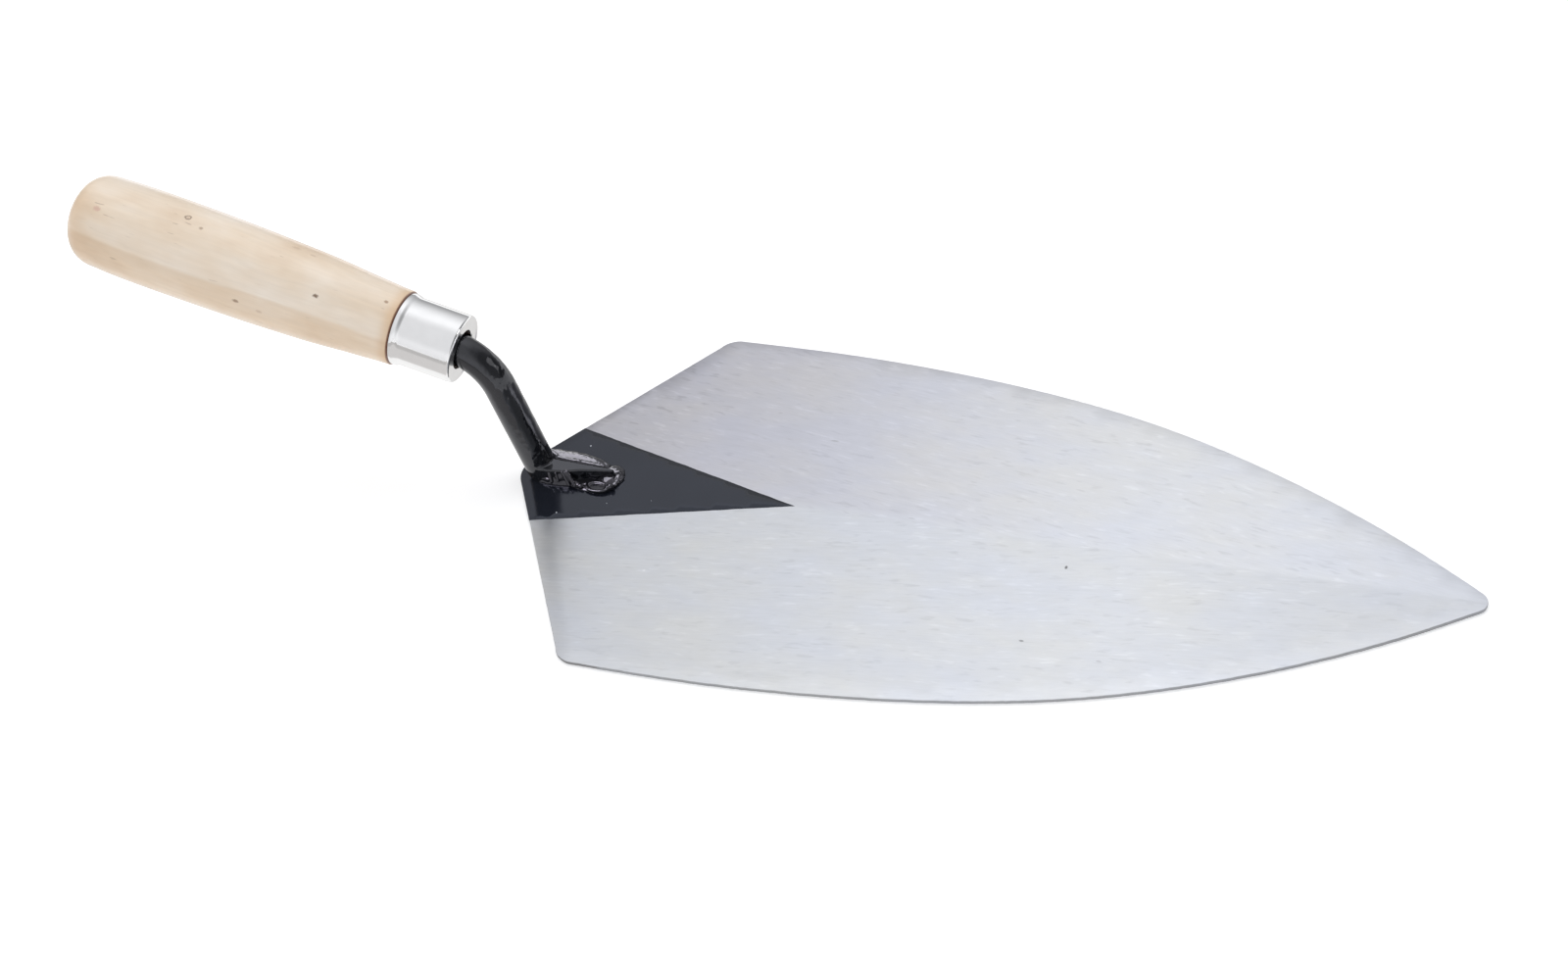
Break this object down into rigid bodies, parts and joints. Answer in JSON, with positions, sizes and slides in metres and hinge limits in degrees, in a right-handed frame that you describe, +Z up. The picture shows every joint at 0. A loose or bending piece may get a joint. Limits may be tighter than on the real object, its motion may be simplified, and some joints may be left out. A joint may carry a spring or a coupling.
{
  "type": "brick trowel",
  "caption": "Brick trowel: broad pointed flat steel blade, bent round shank welded on at the heel, plated ferrule and a turned wooden handle that rises towards its rounded end.",
  "frame": {"origin": "middle of the overall box, on the plane that the blade's flat underside rests on", "axes": "+X along the blade towards its tip, +Y to the left of a user who looks towards the tip, +Z up from the blade's top face"},
  "size_m": [0.4056, 0.1402, 0.0943],
  "materials": {
    "blade_steel": "ground lengthways, fine satin",
    "black_enamel": "glossy black enamel",
    "plated_steel": "bright nickel plate, soft polish",
    "lacquered_wood": "clear lacquered pale birch"
  },
  "bodies": {
    "root": {"blade": "blade_steel", "shank": "black_enamel", "weld_bead_left": "black_enamel", "weld_bead_right": "black_enamel", "weld_bead_toe": "black_enamel", "ferrule": "plated_steel", "handle": "lacquered_wood"}
  },
  "joints": []
}
